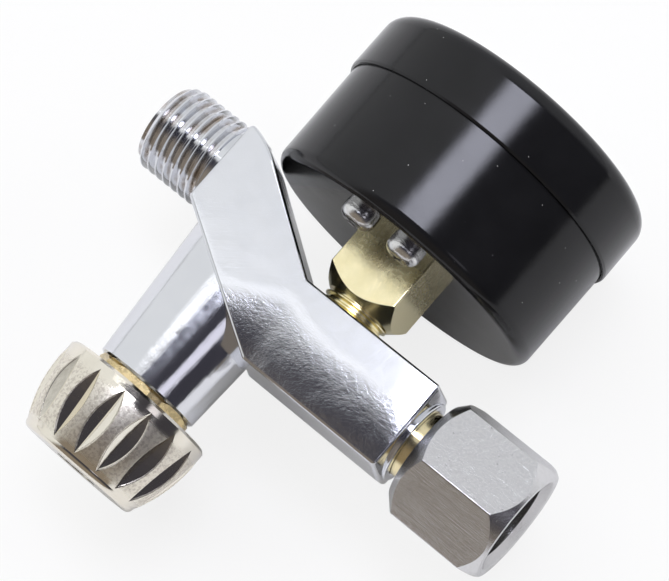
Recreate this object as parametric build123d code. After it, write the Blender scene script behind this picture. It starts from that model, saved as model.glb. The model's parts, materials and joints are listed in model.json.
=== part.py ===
"""Air adjusting valve with a pressure gauge, one STEP file for each piece.

Millimetres. +Z is the normal of the body's flat face. The origin is the centre of the shoulder that
the male inlet thread grows from. +X runs out along the inlet thread, -Y is the way the dial faces,
and +Y is the way the adjusting knob points.
"""
import os
from math import cos, radians, sin, sqrt

from build123d import *

os.makedirs("parts", exist_ok=True)

# ---- driving dimensions -----------------------------------------------------------------------

# Where the four axes lie
BODY_LENGTH = 42.1        # inlet shoulder to outlet face, along X
OUTLET_Y = 12.5           # outlet axis, offset from the inlet axis
KNOB_X = -10.6            # axis of the neck, spindle and knob
GAUGE_X = -25.3           # axis of the gauge and its socket

# Body casting
BODY_FRONT = 8.2          # the flat face, above the inlet axis
BODY_BACK = -7.8          # the back face
PARTING_STEP = 0.35       # how far the side walls stand out at mid height
BACK_STEP = 0.55          # how far they have come in at the back face
OUTLET_ARM_WIDTH = 13.2
INLET_FACE_KNOB_SIDE = 6.9    # half widths of the inlet end face
INLET_FACE_GAUGE_SIDE = 5.76
ELBOW_INNER_X = -19.7     # where the slanted arm meets the straight one, gauge side
ELBOW_OUTER_X = -20.1     # the same, knob side
BODY_EDGE = 0.4           # rounding of the rims of the two flat faces
BODY_CORNER = 0.6         # rounding of the upright corners of the block
OUTLET_BOSS_RADIUS = 6.2
OUTLET_BOSS_HEIGHT = 0.6
NECK_ROOT = 7.0           # the neck grows out of the slanted arm
NECK_END = 29.4           # top of the neck along +Y
NECK_RADIUS_TOP = 7.75
NECK_ROOT_WIDTH = 9.25    # half width along X at the root
NECK_ROOT_HEIGHT = 8.0    # half height along Z at the root
NECK_ROOT_SHIFT = 0.4     # the root is fuller on the inlet side

# Pipe threads, parallel inch series
QUARTER_MAJOR = 6.56      # G 1/4 radii and pitch
QUARTER_MINOR = 5.72
QUARTER_PITCH = 1.337
EIGHTH_MAJOR = 4.84       # G 1/8 radii and pitch
EIGHTH_MINOR = 4.30
EIGHTH_PITCH = 0.907
INLET_THREAD_END = 11.9
INLET_RING_RADIUS = 6.60  # plain run-out ring behind the male thread
INLET_RING_END = 1.3

# Air passages
INLET_BORE = 3.2
LINK_BORE = 2.3           # slanted passage from the inlet to the seat
OUTLET_BORE = 2.5
CHAMBER_RADIUS = 4.9
SEAT_RADIUS = 2.2
SEAT_Y = 8.6

# Bonnet, spindle and knob, all along +Y
BONNET_THREAD = 6.0       # M12 x 1 into the neck
BONNET_FOOT = 16.6
BONNET_FLATS = 14.0
BONNET_HEX_HEIGHT = 3.4
STEM_RADIUS = 3.0
SPINDLE_THREAD = 4.0      # M8 x 1 inside the bonnet
SPINDLE_PITCH = 1.0
SPINDLE_TURNS = 3.0
RUNNING_GAP = 0.05        # radial clearance of a turning or sliding fit
KNOB_RIM_Y = 30.7
KNOB_LENGTH = 12.5
KNOB_RIM_RADIUS = 11.3
KNOB_END_RADIUS = 9.1
KNOB_BARREL_RADIUS = 10.98  # at mid length
KNOB_GROOVES = 16
KNOB_TURN = 14.5          # direction of the first groove, degrees from +X toward -Z
GROOVE_DEPTH = 1.0        # at mid length
GROOVE_SLOPE = 1.75       # half width over depth

# Outlet nipple and swivel nut, distances from the body's outlet face
NUT_FLATS = 16.8
NUT_START = 2.3
NUT_LENGTH = 15.3
NUT_TURN = 14.0           # degrees from +Z toward +Y, to the nearest corner
NUT_END_FACE = 8.15       # radius of the flat face at the mouth
NUT_BACK_FACE = 7.3       # radius of the flat face beside the nipple
NUT_BEVEL = 2.3           # length of the end bevels at a corner
NUT_SHOULDER = 2.8
NUT_HOLE = 5.1
NUT_END_PLAY = 0.05
NUT_RELIEF = 6.2
NIPPLE_SHANK = 5.0
NIPPLE_HEAD = 5.6
NIPPLE_BORE = 2.5

# Gauge, distances from the inlet axis along -Y
CASE_BACK = 4.45
CASE_RADIUS = 21.4
CASE_WALL = 0.8
CASE_DRAFT = 0.25
BEZEL_START = 20.4
BEZEL_END = 29.6
BEZEL_RADIUS = 21.85
BEZEL_EDGE = 2.2          # radius of the front edge
WINDOW_OPENING = 18.6
DIAL_RADIUS = 20.3
DIAL_LEVEL = 21.2
SOCKET_FLATS = 10.9
SOCKET_TURN = -4.6        # the wrench square is a little out of line with the body
SOCKET_END = -3.6         # the wrench square reaches past the inlet axis toward the body
SOCKET_SHANK_END = -9.2
CASE_SCREWS = [(4.7, 12.8), (-2.8, 12.8)]
CASE_SCREW_HEAD = 2.45

# Gauge movement
TOOTH_MODULE = 0.2
PINION_TEETH = 10
SECTOR_TEETH = 60         # on the full circle
SECTOR_CUT = 10           # teeth really cut on the segment
SECTOR_TRAVEL = 45.0
POINTER_TRAVEL = 270.0
SECTOR_DIRECTION = -92.3  # from the pointer arbor to the sector's pivot
TAIL_LENGTH = 3.6
TAIL_REST = -72.5         # direction of the sector's tail with no pressure
LINK_LENGTH = 12.0
TUBE_RADIUS = 13.9
TUBE_START = 90.0
TUBE_SWEEP = 254.0
TUBE_WIDTH = 4.4
TUBE_THICK = 1.5

# ---- frames -----------------------------------------------------------------------------------
# In each frame local +Z is the axis that the pieces are turned about.

ON_INLET = Rot(0, 90, 0)
ON_OUTLET = Pos(-BODY_LENGTH, OUTLET_Y, 0) * Rot(0, -90, 0)
ON_KNOB = Pos(KNOB_X, 0, 0) * Rot(-90, 0, 0)
ON_GAUGE = Pos(GAUGE_X, 0, 0) * Rot(90, 0, 0)


# ---- helpers ----------------------------------------------------------------------------------

def turned(*profile):
    """A solid of revolution about Z from (radius, height) corners."""
    outline = Polyline(*profile, close=True)
    return revolve(Plane.XZ * make_face(outline), axis=Axis.Z)


def rod(radius, start, end):
    """A plain cylinder about Z."""
    return Pos(0, 0, (start + end) / 2) * Cylinder(radius, end - start)


def ring(inner, outer, start, end):
    """A plain tube about Z."""
    return rod(outer, start, end) - rod(inner, start - 1, end + 1)


def slab(width, depth, start, end):
    """A box centred on Z."""
    return Pos(0, 0, (start + end) / 2) * Box(width, depth, end - start)


def hexagon(flats, start, end, turn=0.0):
    """A hexagonal prism with a corner on local +X when turn is 0."""
    return Pos(0, 0, start) * Rot(0, 0, turn) * extrude(RegularPolygon(flats / sqrt(3), 6), end - start)


def polar(radius, angle, centre=(0.0, 0.0)):
    """A point at a distance and direction from a centre."""
    return (centre[0] + radius * cos(radians(angle)), centre[1] + radius * sin(radians(angle)))


def helical_ridge(root, crest, pitch, start, end):
    """One thread ridge of trapezoid section, wound about Z; a negative depth makes it internal."""
    path = Pos(0, 0, start) * Helix(pitch, end - start, root)
    depth = crest - root
    sink = 0.12 if depth > 0 else -0.12
    base = pitch * 0.42
    tip = pitch * 0.09
    section = Plane((root, 0, start), x_dir=(1, 0, 0), z_dir=(0, 1, 0)) * make_face(
        Polyline((-sink, -base), (depth, -tip), (depth, tip), (-sink, base), close=True)
    )
    return sweep(section, path=path, is_frenet=True)


# ---- body -------------------------------------------------------------------------------------

def body_outline(step):
    """The dog-leg outline with rounded corners, and every side wall moved out by step."""
    half_outlet = OUTLET_ARM_WIDTH / 2
    inlet_corner = (0, -INLET_FACE_GAUGE_SIDE)
    corner_end = (-5.6, -INLET_FACE_GAUGE_SIDE + 2.13)
    inner_elbow = (ELBOW_INNER_X, OUTLET_Y - half_outlet)
    outlet_inner = (-BODY_LENGTH, OUTLET_Y - half_outlet)
    outlet_outer = (-BODY_LENGTH, OUTLET_Y + half_outlet)
    outer_elbow = (ELBOW_OUTER_X, OUTLET_Y + half_outlet)
    inlet_outer = (0, INLET_FACE_KNOB_SIDE)
    outline = make_face(
        [
            ThreePointArc(inlet_corner, (-2.85, -INLET_FACE_GAUGE_SIDE + 0.72), corner_end),
            Line(corner_end, inner_elbow), Line(inner_elbow, outlet_inner),
            Line(outlet_inner, outlet_outer), Line(outlet_outer, outer_elbow),
            Line(outer_elbow, inlet_outer), Line(inlet_outer, inlet_corner),
        ]
    )
    if step:
        outline = offset(outline, step, kind=Kind.INTERSECTION)
    corners = [v for v in outline.vertices() if (Vector(v) - Vector(*corner_end)).length > 1.5]
    return fillet(corners, BODY_CORNER)


def half_block(level, step):
    """The block from the parting level to one of its flat faces, with that face's rim rounded."""
    half = loft([body_outline(PARTING_STEP), Pos(0, 0, level) * body_outline(step)], ruled=True)
    rim = [edge for edge in half.edges() if abs(edge.center().Z - level) < 0.01]
    return fillet(rim, BODY_EDGE)


def make_body():
    block = half_block(BODY_FRONT, 0) + half_block(BODY_BACK, -BACK_STEP)
    block -= Pos(5, 0, 0) * Box(10, 40, 40)     # the inlet's end face is machined flat
    boss = rod(OUTLET_BOSS_RADIUS, -1, OUTLET_BOSS_HEIGHT)
    block += ON_OUTLET * fillet(boss.edges().sort_by(Axis.Z)[-1], 0.25)
    block += ON_KNOB * neck_shape()
    block += ON_INLET * inlet_spigot()

    block -= ON_INLET * rod(INLET_BORE, -2.0, INLET_THREAD_END + 1)
    block -= ON_INLET * Pos(0, 0, INLET_THREAD_END - 0.5) * Cone(INLET_BORE, INLET_BORE + 0.6, 1.0)
    block -= seat_passage()
    block -= ON_KNOB * (
        rod(SEAT_RADIUS, SEAT_Y - 3.0, SEAT_Y + 1)
        + rod(CHAMBER_RADIUS, SEAT_Y, BONNET_FOOT)
        + rod(BONNET_THREAD + 0.02, BONNET_FOOT - 0.9, NECK_END + 1)
    )
    block -= ON_OUTLET * (
        rod(OUTLET_BORE, -1, BODY_LENGTH + KNOB_X)
        .moved(Rot(0, 180, 0))
        + rod(EIGHTH_MAJOR + 0.03, 0, 8.2).moved(Rot(0, 180, 0))
        + rod(NIPPLE_SHANK + 0.05, -1, 0.6).moved(Rot(0, 180, 0))
        + Pos(0, 0, OUTLET_BOSS_HEIGHT) * Cone(NIPPLE_SHANK - 0.1, NIPPLE_SHANK + 0.6, 0.7)
    )
    block -= ON_GAUGE * (
        rod(EIGHTH_MAJOR + 0.05, SOCKET_SHANK_END - 0.3, -4)
        + rod(1.4, -OUTLET_Y, SOCKET_SHANK_END)
    )
    return block


def neck_shape():
    """The boss that the bonnet screws into: oval at the root, round at the top."""
    root = Pos(NECK_ROOT_SHIFT, 0, NECK_ROOT) * Ellipse(NECK_ROOT_WIDTH, NECK_ROOT_HEIGHT)
    top = Pos(0, 0, NECK_END) * Circle(NECK_RADIUS_TOP)
    neck = loft([root, top])
    return chamfer(neck.faces().sort_by(Axis.Z)[-1].edges(), 0.3)


def inlet_spigot():
    """The male pipe thread: plain ring, core, ridge and a chamfered tip."""
    core = turned(
        (0, -1.6), (INLET_RING_RADIUS - 0.5, -1.6), (INLET_RING_RADIUS, 0), (INLET_RING_RADIUS, INLET_RING_END),
        (QUARTER_MINOR, INLET_RING_END + 0.5), (QUARTER_MINOR, INLET_THREAD_END), (0, INLET_THREAD_END),
    )
    ridge = helical_ridge(QUARTER_MINOR, QUARTER_MAJOR, QUARTER_PITCH, 1.0, INLET_THREAD_END + 1.5)
    tip_chamfer = 1.1
    envelope = turned(
        (0, 0.4), (QUARTER_MAJOR + 1, 0.4), (QUARTER_MAJOR + 1, INLET_THREAD_END - tip_chamfer - 1),
        (QUARTER_MAJOR - 1, INLET_THREAD_END - tip_chamfer + 1), (QUARTER_MINOR - 0.35, INLET_THREAD_END),
        (0, INLET_THREAD_END),
    )
    return core + (ridge & envelope)


def seat_passage():
    """The slanted drilling that joins the inlet bore to the space under the seat."""
    start = Vector(1.0, 0, 0)
    end = Vector(KNOB_X - 0.6, SEAT_Y - 1.9, 0)
    along = end - start
    frame = Plane(origin=start, z_dir=along)
    return frame * rod(LINK_BORE, 0, along.length)


# ---- bonnet, spindle and knob -----------------------------------------------------------------

def make_bonnet():
    hex_start = NECK_END
    hex_end = NECK_END + BONNET_HEX_HEIGHT
    corner_turn = 7.55
    head = hexagon(BONNET_FLATS, hex_start, hex_end) & turned(
        (0, hex_start), (corner_turn - 0.4, hex_start), (corner_turn, hex_start + 0.4),
        (corner_turn, hex_end - 0.5), (corner_turn - 0.9, hex_end), (0, hex_end),
    )
    barrel = rod(BONNET_THREAD, BONNET_FOOT, hex_start)
    inside = turned(
        (0, BONNET_FOOT - 1), (SPINDLE_THREAD + RUNNING_GAP, BONNET_FOOT - 1),
        (SPINDLE_THREAD + RUNNING_GAP, STEM_SHOULDER), (STEM_RADIUS + RUNNING_GAP, STEM_SHOULDER),
        (STEM_RADIUS + RUNNING_GAP, hex_end + 1), (0, hex_end + 1),
    )
    return ON_KNOB * (head + barrel - inside)


SPINDLE_THREAD_START = BONNET_FOOT + 0.2
SPINDLE_THREAD_END = SPINDLE_THREAD_START + 4.2
STEM_SHOULDER = SPINDLE_THREAD_END + SPINDLE_TURNS * SPINDLE_PITCH + 0.1
STEM_RING_START = STEM_SHOULDER + 1.6
STEM_RING_HEIGHT = 1.2
STEM_RING_ROOT = 2.1
KNOB_SEAT = KNOB_RIM_Y + 4.2
STEM_END = KNOB_SEAT + 5.2
FLAT_DEPTH = 0.6
KNOB_SCREW_RADIUS = 1.5


def make_bonnet_washer():
    return ON_KNOB * ring(CHAMBER_RADIUS - 0.5, BONNET_THREAD - 0.05, BONNET_FOOT - 0.9, BONNET_FOOT)


def make_spindle():
    needle_tip = SEAT_Y - 0.9
    plug = 3.4
    groove_end = STEM_RING_START + STEM_RING_HEIGHT
    shape = turned(
        (0, needle_tip), (1.2, needle_tip), (SEAT_RADIUS + 0.3, SEAT_Y + 0.45), (plug, SEAT_Y + 0.45),
        (plug, SPINDLE_THREAD_START), (SPINDLE_THREAD, SPINDLE_THREAD_START),
        (SPINDLE_THREAD, SPINDLE_THREAD_END), (STEM_RADIUS, SPINDLE_THREAD_END),
        (STEM_RADIUS, STEM_RING_START), (STEM_RING_ROOT, STEM_RING_START),
        (STEM_RING_ROOT, groove_end), (STEM_RADIUS, groove_end), (STEM_RADIUS, STEM_END), (0, STEM_END),
    )
    flat = slab(10, 10, KNOB_SEAT, STEM_END + 1).moved(Pos(0, 5 + STEM_RADIUS - FLAT_DEPTH, 0))
    screw_hole = rod(KNOB_SCREW_RADIUS, STEM_END - 4.2, STEM_END + 1)
    return ON_KNOB * (shape - flat - screw_hole)


def make_stem_ring():
    shape = ring(
        STEM_RING_ROOT + 0.03, STEM_RADIUS + 0.02, STEM_RING_START + 0.05,
        STEM_RING_START + STEM_RING_HEIGHT - 0.05,
    )
    return ON_KNOB * fillet(shape.edges(), 0.3)


def knob_blank():
    """The barrel, hollow on the neck side so that it hides the bonnet."""
    top = KNOB_RIM_Y + KNOB_LENGTH
    middle = KNOB_RIM_Y + KNOB_LENGTH * 0.5
    side = ThreePointArc(
        (KNOB_RIM_RADIUS, KNOB_RIM_Y + 1.3), (KNOB_BARREL_RADIUS, middle), (KNOB_END_RADIUS, top - 0.9)
    )
    shoulder = KNOB_END_RADIUS - 0.9
    edges = [
        Line((0, KNOB_RIM_Y), (KNOB_RIM_RADIUS - 0.4, KNOB_RIM_Y)),
        Line((KNOB_RIM_RADIUS - 0.4, KNOB_RIM_Y), (KNOB_RIM_RADIUS, KNOB_RIM_Y + 0.4)),
        Line((KNOB_RIM_RADIUS, KNOB_RIM_Y + 0.4), (KNOB_RIM_RADIUS, KNOB_RIM_Y + 1.3)),
        side,
        ThreePointArc(
            (KNOB_END_RADIUS, top - 0.9), (KNOB_END_RADIUS - 0.26, top - 0.26), (shoulder, top)
        ),
        Line((shoulder, top), (0, top)),
        Line((0, top), (0, KNOB_RIM_Y)),
    ]
    return revolve(Plane.XZ * make_face(Wire(edges)), axis=Axis.Z)


def knob_groove():
    """One straight V cut along the barrel; its ends run out where the barrel curves away."""
    start = KNOB_RIM_Y + 1.0
    end = KNOB_RIM_Y + KNOB_LENGTH - 0.4
    floor = ThreePointArc(
        (KNOB_RIM_RADIUS + 0.05, 0, start),
        (KNOB_BARREL_RADIUS - GROOVE_DEPTH, 0, (start + end) / 2),
        (KNOB_END_RADIUS + 0.05, 0, end),
    )
    height = 3.0
    half_width = height * GROOVE_SLOPE
    section = Plane(floor @ 0, x_dir=(1, 0, 0), z_dir=(floor % 0)) * make_face(
        Polyline((0, 0), (height, half_width), (height, -half_width), close=True)
    )
    return sweep(section, path=floor)


def make_knob():
    top = KNOB_RIM_Y + KNOB_LENGTH
    shape = knob_blank()
    groove = knob_groove()
    for index in range(KNOB_GROOVES):
        shape -= Rot(0, 0, KNOB_TURN + index * 360 / KNOB_GROOVES) * groove
    skirt = rod(8.4, KNOB_RIM_Y - 1, KNOB_SEAT)
    stem_hole = rod(STEM_RADIUS + 0.02, KNOB_SEAT - 1, STEM_END + 0.1)
    key = slab(10, 10, KNOB_SEAT, top).moved(Pos(0, 5 + STEM_RADIUS - FLAT_DEPTH + 0.03, 0))
    screw_seat = rod(KNOB_SCREW_RADIUS + 0.1, STEM_END, top + 1) + rod(3.2, top - 1.6, top + 1)
    return ON_KNOB * (shape - skirt - (stem_hole - key) - screw_seat)


def pan_screw(head_radius, head_height, shank_radius, shank_length, slot=0.0):
    """A pan-head screw about Z with its head above Z = 0; slot 0 gives a cross recess."""
    head = turned((0, 0), (head_radius, 0), (head_radius, head_height), (0, head_height))
    head = fillet(head.edges().sort_by(Axis.Z)[-1], head_height * 0.7)
    if slot:
        recess = slab(head_radius * 3, slot, head_height * 0.55, head_height + 1)
    else:
        arm = head_radius * 0.95
        recess = slab(arm, 0.5, head_height * 0.4, head_height + 1)
        recess += slab(0.5, arm, head_height * 0.4, head_height + 1)
    return head + rod(shank_radius, -shank_length, 0) - recess


def make_knob_screw():
    seat = KNOB_RIM_Y + KNOB_LENGTH - 1.6
    return ON_KNOB * Pos(0, 0, seat) * pan_screw(2.8, 1.5, KNOB_SCREW_RADIUS - 0.01, seat - STEM_END + 3.6)


# ---- outlet -----------------------------------------------------------------------------------

def make_nipple():
    head_start = NUT_START + NUT_SHOULDER + NUT_END_PLAY
    head_end = head_start + 1.6
    nose_end = head_end + 1.6
    shape = turned(
        (NIPPLE_BORE, -8.0), (EIGHTH_MINOR + 0.2, -8.0), (EIGHTH_MAJOR, -7.4), (EIGHTH_MAJOR, -0.55),
        (NIPPLE_SHANK, -0.55), (NIPPLE_SHANK, head_start),
        (NIPPLE_HEAD, head_start), (NIPPLE_HEAD, head_end), (NIPPLE_HEAD - 0.9, head_end),
        (NIPPLE_BORE + 0.7, nose_end), (NIPPLE_BORE, nose_end),
    )
    return ON_OUTLET * shape


def make_nut():
    end = NUT_START + NUT_LENGTH
    relief_start = NUT_START + NUT_SHOULDER
    relief_end = relief_start + 3.5
    land_end = relief_end + 2.0
    corner = NUT_FLATS / sqrt(3) + 0.02
    prism = hexagon(NUT_FLATS, NUT_START, end, NUT_TURN)
    blank = fillet(prism.edges().filter_by(Axis.Z), 0.3) & turned(
        (0, NUT_START), (NUT_BACK_FACE, NUT_START), (corner, NUT_START + NUT_BEVEL),
        (corner, end - NUT_BEVEL), (NUT_END_FACE, end), (0, end),
    )
    mouth = 7.1
    bore = turned(
        (0, NUT_START - 1), (NUT_HOLE, NUT_START - 1), (NUT_HOLE, relief_start), (NUT_RELIEF, relief_start),
        (NUT_RELIEF, relief_end), (QUARTER_MINOR, relief_end), (QUARTER_MINOR, end - 1.0),
        (mouth, end), (mouth, end + 1), (0, end + 1),
    )
    thread = helical_ridge(QUARTER_MINOR - 0.05, QUARTER_MAJOR, QUARTER_PITCH, land_end + 0.65, end + 1.5)
    return ON_OUTLET * (blank - bore - thread)


# ---- gauge: outside ---------------------------------------------------------------------------

FOOT_START = CASE_BACK + CASE_WALL
FOOT_END = FOOT_START + 2.8
TUBE_LEVEL = 12.2         # mid height of the Bourdon tube
PLATE_BACK = 9.6          # back face of the movement's back plate
PLATE_THICK = 0.9
PLATE_GAP = 6.4
FRONT_PLATE = PLATE_BACK + PLATE_THICK + PLATE_GAP
SCREW_SHANK = 1.5
AIR_DRILL_X = 1.0         # small drillings from the socket's bore to the tube's open end


def make_socket():
    """Wrench square outside the case, threaded shank into the body, foot and post inside."""
    half = SOCKET_FLATS / 2
    square = slab(SOCKET_FLATS, SOCKET_FLATS, SOCKET_END, CASE_BACK)
    square = fillet(square.edges().filter_by(Axis.Z), 0.25).moved(Rot(0, 0, SOCKET_TURN)) & turned(
        (0, SOCKET_END), (half - 0.55, SOCKET_END), (half * sqrt(2) + 0.1, SOCKET_END + 2.5),
        (half * sqrt(2) + 0.1, CASE_BACK), (0, CASE_BACK),
    )
    shank = rod(EIGHTH_MINOR, SOCKET_SHANK_END, SOCKET_END)
    ridge = helical_ridge(EIGHTH_MINOR, EIGHTH_MAJOR, EIGHTH_PITCH, SOCKET_SHANK_END - 0.6, SOCKET_END - 0.1)
    envelope = turned(
        (0, SOCKET_SHANK_END), (EIGHTH_MINOR - 0.2, SOCKET_SHANK_END),
        (EIGHTH_MAJOR + 0.4, SOCKET_SHANK_END + 0.9), (EIGHTH_MAJOR + 0.4, SOCKET_END), (0, SOCKET_END),
    )
    spigot = rod(3.4, CASE_BACK - 0.01, FOOT_START + 0.01)
    screw_row = CASE_SCREWS[0][1]
    foot = Pos(0.5, screw_row / 2, 0) * slab(13, screw_row + 6.5, FOOT_START, FOOT_END)
    foot = foot & rod(CASE_RADIUS - 2.2, FOOT_START, FOOT_END)
    post = Pos(0, TUBE_RADIUS, 0) * slab(5.2, 4.4, FOOT_END - 0.01, TUBE_LEVEL + TUBE_WIDTH / 2 + 0.6)
    shape = square + (shank + (ridge & envelope)) + spigot + foot + post
    shape -= rod(1.3, SOCKET_SHANK_END - 1, FOOT_START + 1.2)
    shape -= Pos(AIR_DRILL_X, TUBE_RADIUS / 2, FOOT_START + 1.2) * Rot(90, 0, 0) * Cylinder(0.6, TUBE_RADIUS)
    shape -= Pos(AIR_DRILL_X, TUBE_RADIUS, 0) * rod(0.6, FOOT_START + 1.0, TUBE_LEVEL)
    shape -= tube_shape(TUBE_WIDTH + 0.06, TUBE_THICK + 0.06, -6.0, 20.0)
    for x, y in CASE_SCREWS:
        shape -= Pos(x, y, 0) * rod(SCREW_SHANK + 0.01, FOOT_START - 1, FOOT_END + 1)
    for x, y in PLATE_SCREWS:
        shape -= Pos(x, y, 0) * rod(0.62, FOOT_END - 1.9, FOOT_END + 1)
    return ON_GAUGE * shape


PILLAR_PLACES = [(-6.2, 3.4), (6.2, 3.4)]
PLATE_SCREWS = [(-3.4, 4.6), (3.4, 4.6)]


def make_case():
    edge = 1.6
    outer = turned(
        (0, CASE_BACK), (CASE_RADIUS - CASE_DRAFT, CASE_BACK), (CASE_RADIUS, BEZEL_END - 3.2), (0, BEZEL_END - 3.2)
    )
    back_edge = outer.edges().filter_by(GeomType.CIRCLE).sort_by(Axis.Z)[0]
    outer = fillet(back_edge, edge)
    inner = turned(
        (0, CASE_BACK + CASE_WALL), (CASE_RADIUS - CASE_DRAFT - CASE_WALL, CASE_BACK + CASE_WALL),
        (CASE_RADIUS - CASE_WALL, BEZEL_END), (0, BEZEL_END),
    )
    inner_edge = inner.edges().filter_by(GeomType.CIRCLE).sort_by(Axis.Z)[0]
    shape = outer - fillet(inner_edge, edge - CASE_WALL)
    shape -= rod(3.45, 0, 8)
    for x, y in CASE_SCREWS:
        shape -= Pos(x, y, 0) * rod(SCREW_SHANK + 0.1, 0, 8)
    return ON_GAUGE * shape


def make_case_screws():
    screws = [
        ON_GAUGE * Pos(x, y, CASE_BACK) * Rot(180, 0, 25 * (index + 1))
        * pan_screw(CASE_SCREW_HEAD, 1.9, SCREW_SHANK, 3.4)
        for index, (x, y) in enumerate(CASE_SCREWS)
    ]
    return screws


WINDOW_BACK = BEZEL_END - 2.6
WINDOW_THICK = 1.2
GASKET_THICK = 0.6
WINDOW_RADIUS = 20.3


def make_bezel():
    """A drawn ring: a sleeve over the case and a lip over the window."""
    inner = CASE_RADIUS + 0.01
    lip = BEZEL_END - 0.9
    outer = turned(
        (0, BEZEL_START), (BEZEL_RADIUS - 0.15, BEZEL_START), (BEZEL_RADIUS, BEZEL_START + 0.3),
        (BEZEL_RADIUS, BEZEL_END), (0, BEZEL_END),
    )
    front_edge = outer.edges().filter_by(GeomType.CIRCLE).sort_by(Axis.Z)[-1]
    outer = fillet(front_edge, BEZEL_EDGE)
    hollow = turned(
        (0, BEZEL_START - 1), (inner, BEZEL_START - 1), (inner, WINDOW_BACK), (WINDOW_RADIUS + 0.1, WINDOW_BACK),
        (WINDOW_RADIUS + 0.1, lip), (WINDOW_OPENING, lip), (WINDOW_OPENING, BEZEL_END - 0.4),
        (WINDOW_OPENING + 0.4, BEZEL_END), (WINDOW_OPENING + 0.4, BEZEL_END + 1), (0, BEZEL_END + 1),
    )
    return ON_GAUGE * (outer - hollow)


def make_window():
    return ON_GAUGE * rod(WINDOW_RADIUS, WINDOW_BACK, WINDOW_BACK + WINDOW_THICK)


def make_window_gasket():
    start = WINDOW_BACK - GASKET_THICK
    return ON_GAUGE * ring(WINDOW_OPENING + 1.0, CASE_RADIUS - 0.1, start, WINDOW_BACK)


def make_dial():
    shape = rod(DIAL_RADIUS, DIAL_LEVEL, DIAL_LEVEL + 0.5) - rod(1.6, 0, 40)
    for x, y in PILLAR_PLACES:
        shape -= Pos(x, y, 0) * rod(0.7, 0, 40)
    return ON_GAUGE * shape


def make_dial_screws():
    return [
        ON_GAUGE * Pos(x, y, DIAL_LEVEL + 0.5) * pan_screw(1.2, 0.6, 0.6, 2.4, slot=0.3)
        for x, y in PILLAR_PLACES
    ]


# ---- gauge: movement --------------------------------------------------------------------------

PINION_RADIUS = TOOTH_MODULE * PINION_TEETH / 2
SECTOR_RADIUS = TOOTH_MODULE * SECTOR_TEETH / 2
PIVOT = polar(PINION_RADIUS + SECTOR_RADIUS, SECTOR_DIRECTION)
TAIL = polar(TAIL_LENGTH, TAIL_REST, PIVOT)
TIP_DIRECTION = TAIL_REST + SECTOR_TRAVEL / 2 + 90
TIP_PIN = polar(LINK_LENGTH, TIP_DIRECTION, TAIL)
GEAR_LEVEL = 13.4         # back face of the gears
GEAR_THICK = 1.2
LINK_LEVEL = GEAR_LEVEL - 0.9
LINK_THICK = 0.5
TAIL_PIN_RADIUS = 0.35
TIP_PIN_RADIUS = 0.3
TIP_PIN_PLAY = 0.36       # the tip moves straight and the tail on an arc, so this pivot has play
ARBOR_RADIUS = 0.45
PIVOT_HOLE = ARBOR_RADIUS + 0.04
POINTER_LEVEL = DIAL_LEVEL + 1.9
SPRING_LEVEL = GEAR_LEVEL + GEAR_THICK + 1.0
SPRING_INNER = 0.62
SPRING_OUTER = 1.88
SPRING_TURNS = 3
SPRING_END = 40.0         # direction of the spring's outer end


def gear_teeth(teeth, count, centre_angle, addendum=0.17, dedendum=0.28):
    """Wedge-shaped teeth on a pitch circle about Z, the middle tooth or gap at centre_angle."""
    pitch_radius = TOOTH_MODULE * teeth / 2
    step = 360 / teeth
    root = pitch_radius - dedendum
    tip = pitch_radius + addendum
    shapes = []
    for index in range(count):
        angle = centre_angle + (index - (count - 1) / 2) * step
        tooth = Polyline(
            polar(root - 0.15, angle - 0.33 * step), polar(root, angle - 0.33 * step),
            polar(pitch_radius, angle - 0.21 * step), polar(tip, angle - 0.08 * step),
            polar(tip, angle + 0.08 * step), polar(pitch_radius, angle + 0.21 * step),
            polar(root, angle + 0.33 * step), polar(root - 0.15, angle + 0.33 * step), close=True,
        )
        shapes.append(Pos(0, 0, GEAR_LEVEL) * extrude(make_face(tooth), GEAR_THICK))
    return shapes


def make_pinion():
    """The pointer's arbor, cut with the pinion's leaves."""
    root = PINION_RADIUS - 0.28
    shape = rod(ARBOR_RADIUS, PLATE_BACK, POINTER_LEVEL + 0.6)
    shape += rod(root, GEAR_LEVEL - 0.2, GEAR_LEVEL + GEAR_THICK + 0.2)
    for tooth in gear_teeth(PINION_TEETH, PINION_TEETH, SECTOR_DIRECTION + 180 / PINION_TEETH * 11):
        shape += tooth
    return ON_GAUGE * shape


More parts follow.
